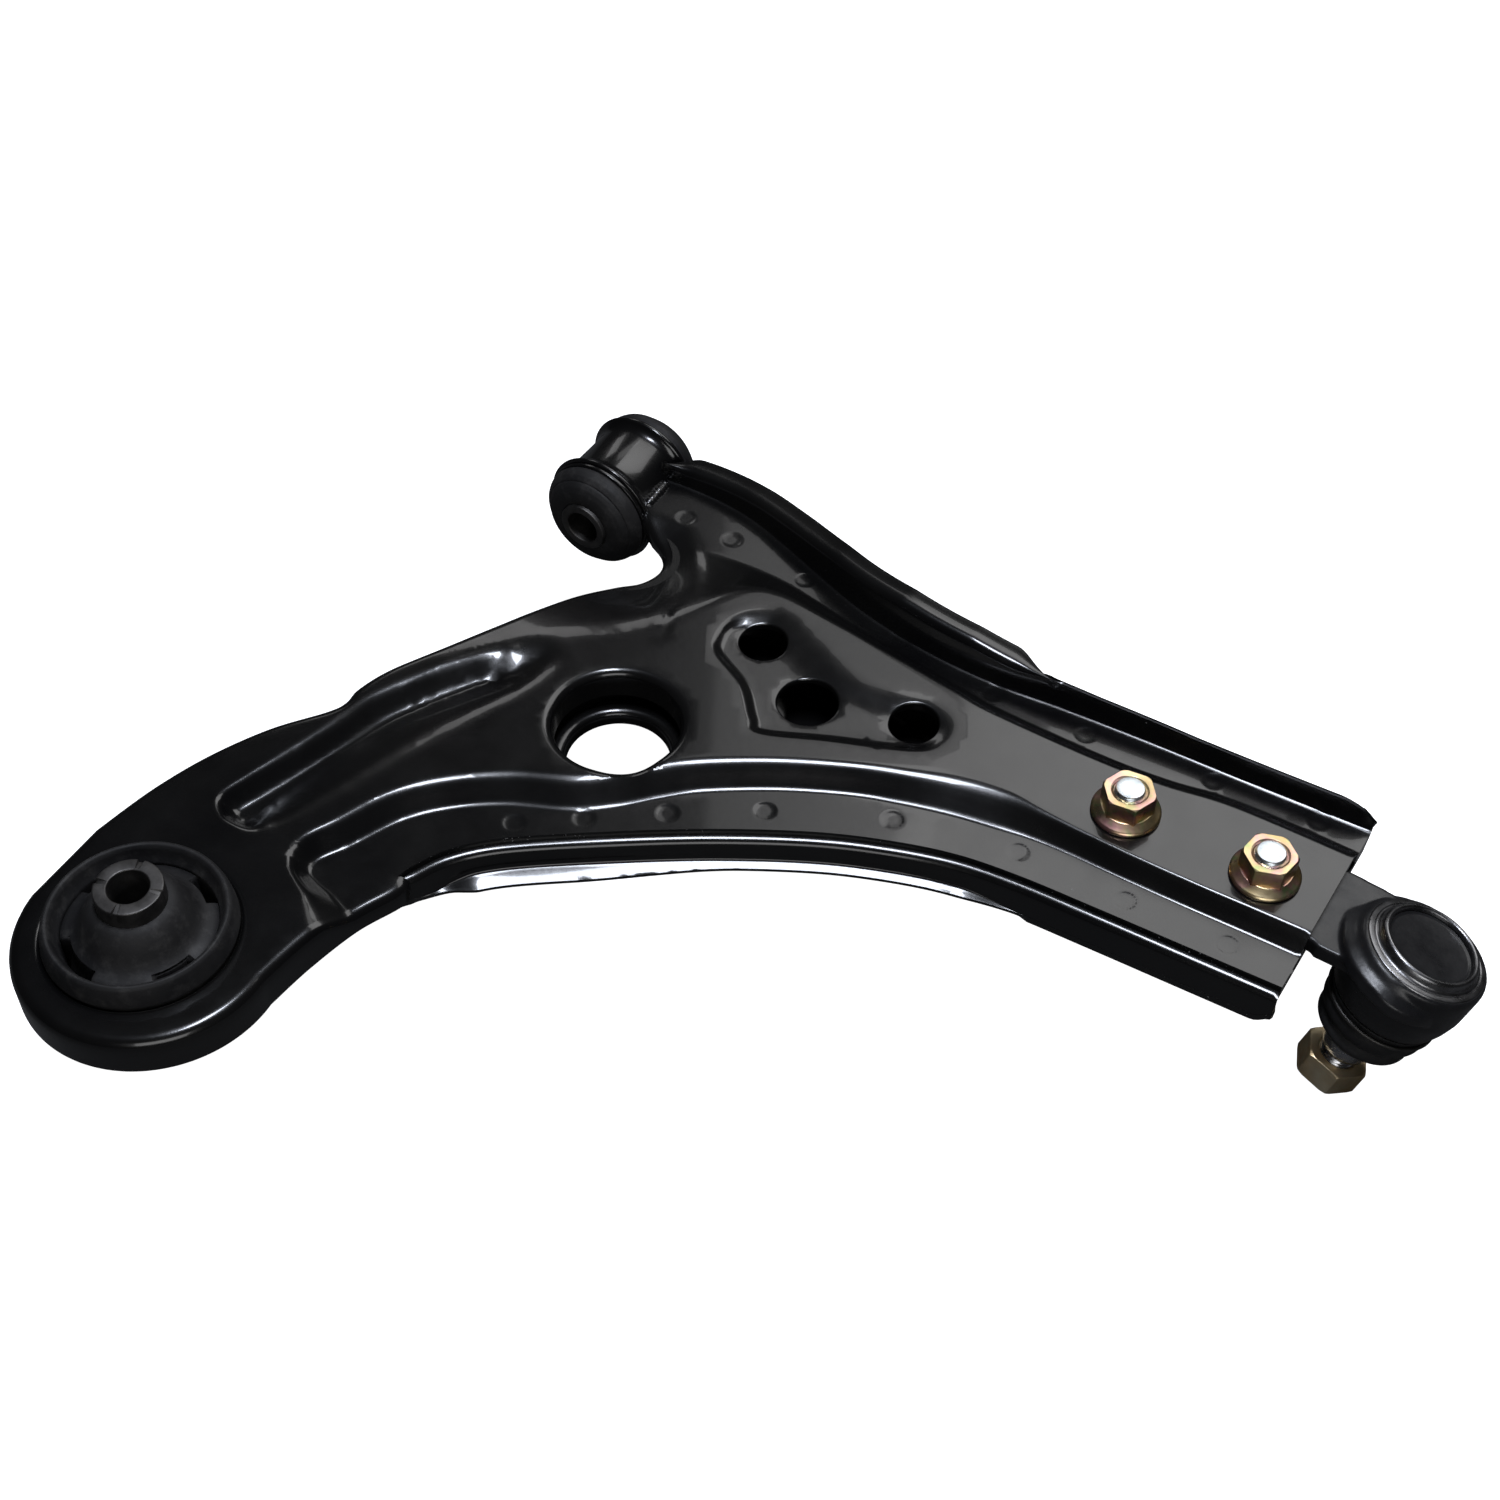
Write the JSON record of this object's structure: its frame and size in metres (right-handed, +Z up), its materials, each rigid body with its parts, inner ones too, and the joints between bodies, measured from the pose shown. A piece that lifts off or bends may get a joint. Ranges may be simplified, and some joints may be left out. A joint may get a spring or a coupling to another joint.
{
  "type": "suspension control arm",
  "caption": "Welded pressed-steel lower control arm with a horizontal front bush, a vertical rear bush and a bolted-on ball joint with boot and nut.",
  "frame": {"origin": "centre of the front bush, on the axis of its inner sleeve", "axes": "+Y along the front bush axis towards the front of the car, +X out to the ball joint, +Z up"},
  "size_m": [0.3772, 0.313, 0.0851],
  "materials": {
    "black_coat": "glossy black electrophoretic paint",
    "rubber": "matte moulded",
    "boot_rubber": "satin moulded",
    "phosphate_steel": "grey phosphate",
    "forged_steel": "satin black over a forged surface",
    "bright_steel": "turned and polished",
    "seat_plastic": "moulded",
    "yellow_zinc": "yellow passivated zinc",
    "silver_zinc": "clear zinc"
  },
  "bodies": {
    "arm": {"upper_stamping": "black_coat", "lower_stamping": "black_coat", "front_eye": "black_coat", "front_bush_outer_sleeve": "black_coat", "front_bush_rubber": "rubber", "rear_bush_outer_sleeve": "phosphate_steel", "rear_bush_rubber": "rubber", "ball_joint_housing": "forged_steel", "ball_seat_lower": "seat_plastic", "ball_seat_upper": "seat_plastic", "ball_joint_cap": "forged_steel", "boot_ring_large": "bright_steel", "clamp_bolt_inner": "silver_zinc", "clamp_bolt_outer": "silver_zinc", "flange_nut_inner": "yellow_zinc", "flange_nut_outer": "yellow_zinc"},
    "front_sleeve": {"front_bush_inner_sleeve": "phosphate_steel"},
    "rear_sleeve": {"rear_bush_inner_sleeve": "phosphate_steel"},
    "boot": {"dust_boot": "boot_rubber"},
    "boot_neck": {"boot_ring_small": "bright_steel"},
    "stud": {"ball_stud": "bright_steel", "stud_nut": "yellow_zinc"}
  },
  "joints": [
    {"name": "front_bush_twist", "type": "hinge", "parent": "arm", "child": "front_sleeve", "pos_m": [0, 0, 0], "axis": [0, 1, 0], "range_deg": [-15, 15], "stiffness_Nm_per_rad": 20, "deforming": ["front_bush_rubber"]},
    {"name": "rear_bush_tilt", "type": "hinge", "parent": "arm", "child": "rear_sleeve", "pos_m": [0, -0.248, 0], "axis": [0, 1, 0], "range_deg": [-15, 15], "stiffness_Nm_per_rad": 20, "deforming": ["rear_bush_rubber"]},
    {"name": "stud_rock", "type": "hinge", "parent": "arm", "child": "boot", "pos_m": [0.316, -0.052, -0.002], "axis": [-0.0482, 0.9799, -0.1935], "range_deg": [-17, 17], "deforming": ["dust_boot"]},
    {"name": "stud_swing", "type": "hinge", "parent": "boot", "child": "boot_neck", "pos_m": [0.316, -0.052, -0.002], "axis": [0.9703, 0, -0.2419], "range_deg": [-17, 17], "deforming": ["dust_boot"]},
    {"name": "stud_turn", "type": "hinge", "parent": "boot_neck", "child": "stud", "pos_m": [0.316, -0.052, -0.002], "axis": [0.2371, 0.1994, 0.9508], "continuous": true}
  ],
  "couplings": [
    {"joint": "rear_bush_tilt", "follows": "front_bush_twist", "ratio": 1}
  ]
}
